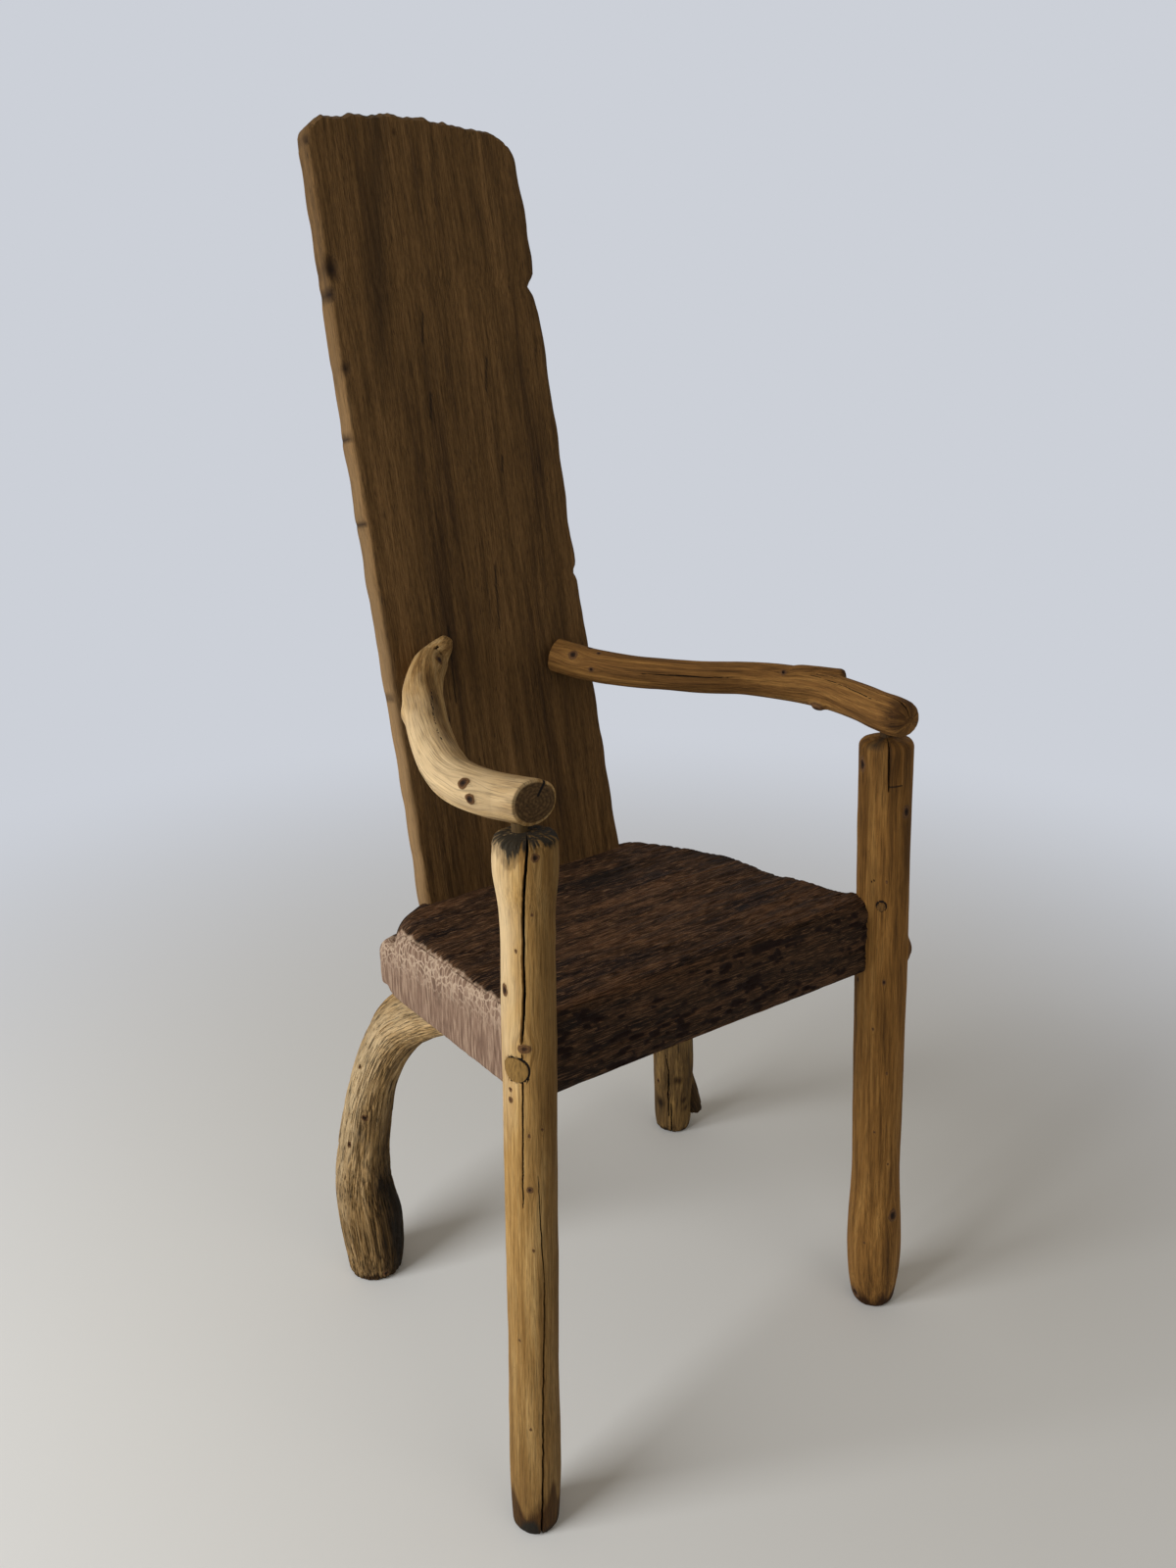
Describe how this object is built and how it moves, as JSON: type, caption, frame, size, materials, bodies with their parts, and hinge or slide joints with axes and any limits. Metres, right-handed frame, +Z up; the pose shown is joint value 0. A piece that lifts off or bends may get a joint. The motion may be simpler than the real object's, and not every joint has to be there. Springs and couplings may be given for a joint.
{
  "type": "armchair",
  "caption": "Rustic armchair of weathered wood: slab seat, tall raked plank back, round front posts, and crooked natural limbs for the rear legs and arms.",
  "frame": {"origin": "on the floor under the middle of the chair's overall box", "axes": "+Z up; the chair faces -Y, so +X is on the right of someone who looks at its front"},
  "size_m": [0.515, 0.4283, 1.1583],
  "materials": {
    "seat_wood": "dark brown weathered softwood, furrowed and pitted, dry and matt",
    "board_wood": "mid brown weathered softwood, open grain, dry and matt",
    "left_post_wood": "honey yellow peeled pole with drying cracks, matt",
    "right_post_wood": "ochre brown peeled pole with drying cracks, matt",
    "left_leg_wood": "pale tan driftwood limb, deeply furrowed, matt",
    "right_leg_wood": "yellow tan driftwood limb with dark patches, matt",
    "left_arm_wood": "pale cream driftwood limb, smooth and matt",
    "right_arm_wood": "ochre brown driftwood limb with drying cracks, matt",
    "plug_wood": "plain wooden plug, trimmed flush, matt",
    "peg_wood": "small wooden peg, trimmed flush, matt",
    "screw_steel": "dull zinc-plated steel"
  },
  "bodies": {
    "root": {"seat_slab": "seat_wood", "back_board": "board_wood", "front_left_post": "left_post_wood", "front_right_post": "right_post_wood", "rear_left_leg": "left_leg_wood", "rear_right_leg": "right_leg_wood", "left_arm": "left_arm_wood", "right_arm": "right_arm_wood", "post_plugs": "plug_wood", "right_post_peg": "peg_wood", "post_coach_screws": "screw_steel", "board_coach_screws": "screw_steel", "board_washers": "screw_steel", "arm_screws": "screw_steel"}
  },
  "joints": []
}
